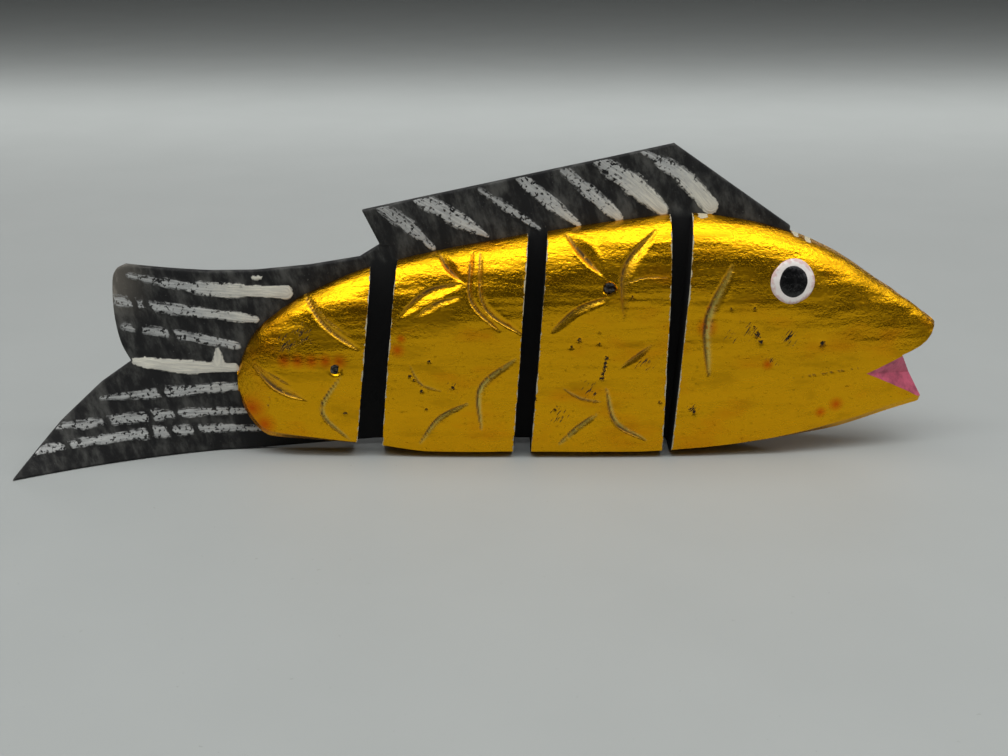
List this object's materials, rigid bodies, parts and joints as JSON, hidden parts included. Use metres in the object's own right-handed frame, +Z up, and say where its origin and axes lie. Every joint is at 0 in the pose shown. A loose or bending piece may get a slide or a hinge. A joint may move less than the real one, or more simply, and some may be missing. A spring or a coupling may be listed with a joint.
{
  "type": "articulated wooden fish",
  "caption": "Wiggling folk-art fish: carved, gilded wooden blocks glued along a rubber sheet that forms the back fin, the tail fin and the bending hinges. It stands on its flat belly.",
  "frame": {"origin": "on the flat belly under the middle of the middle block, in the plane of the rubber sheet", "axes": "+X towards the snout, +Y to the fish's left, +Z up"},
  "size_m": [0.2356, 0.038, 0.0804],
  "materials": {
    "gilded_wood": "carved softwood covered with crinkled gold leaf, sawn faces painted black",
    "rubber_sheet": "dusty sheet rubber with dry-brushed white strokes on the fins",
    "eye_white_paint": "thick hand-painted off-white enamel",
    "pupil_paint": "thick glossy black enamel",
    "nail_steel": "dark steel nail"
  },
  "bodies": {
    "middle": {"middle_block_right": "gilded_wood", "middle_block_left": "gilded_wood", "middle_rubber": "rubber_sheet", "neck_web": "rubber_sheet", "waist_web": "rubber_sheet", "middle_nail": "nail_steel"},
    "head": {"head_block": "gilded_wood", "head_rubber": "rubber_sheet", "eye_white_right": "eye_white_paint", "eye_white_left": "eye_white_paint", "pupil_right": "pupil_paint", "pupil_left": "pupil_paint"},
    "rear": {"rear_block_right": "gilded_wood", "rear_block_left": "gilded_wood", "rear_rubber": "rubber_sheet", "tail_web": "rubber_sheet"},
    "tail": {"tail_block_right": "gilded_wood", "tail_block_left": "gilded_wood", "tail_rubber": "rubber_sheet", "fin_web": "rubber_sheet", "tail_nail": "nail_steel"},
    "fin": {"tail_fin": "rubber_sheet"}
  },
  "joints": [
    {"name": "neck_bend", "type": "hinge", "parent": "middle", "child": "head", "pos_m": [0.0194, 0, 0], "axis": [0, 0, 1], "range_deg": [-10, 10], "stiffness_Nm_per_rad": 0.04, "deforming": ["neck_web"]},
    {"name": "waist_bend", "type": "hinge", "parent": "middle", "child": "rear", "pos_m": [-0.0174, 0, 0], "axis": [0, 0, 1], "range_deg": [-18, 18], "stiffness_Nm_per_rad": 0.03, "deforming": ["waist_web"]},
    {"name": "tail_bend", "type": "hinge", "parent": "rear", "child": "tail", "pos_m": [-0.05735, 0, 0], "axis": [0, 0, 1], "range_deg": [-36, 24], "stiffness_Nm_per_rad": 0.015, "deforming": ["tail_web"]},
    {"name": "fin_flex", "type": "hinge", "parent": "tail", "child": "fin", "pos_m": [-0.09629, -0.00409, 0], "axis": [0, 0, 1], "range_deg": [-25, 25], "stiffness_Nm_per_rad": 0.003, "deforming": ["fin_web"]}
  ]
}
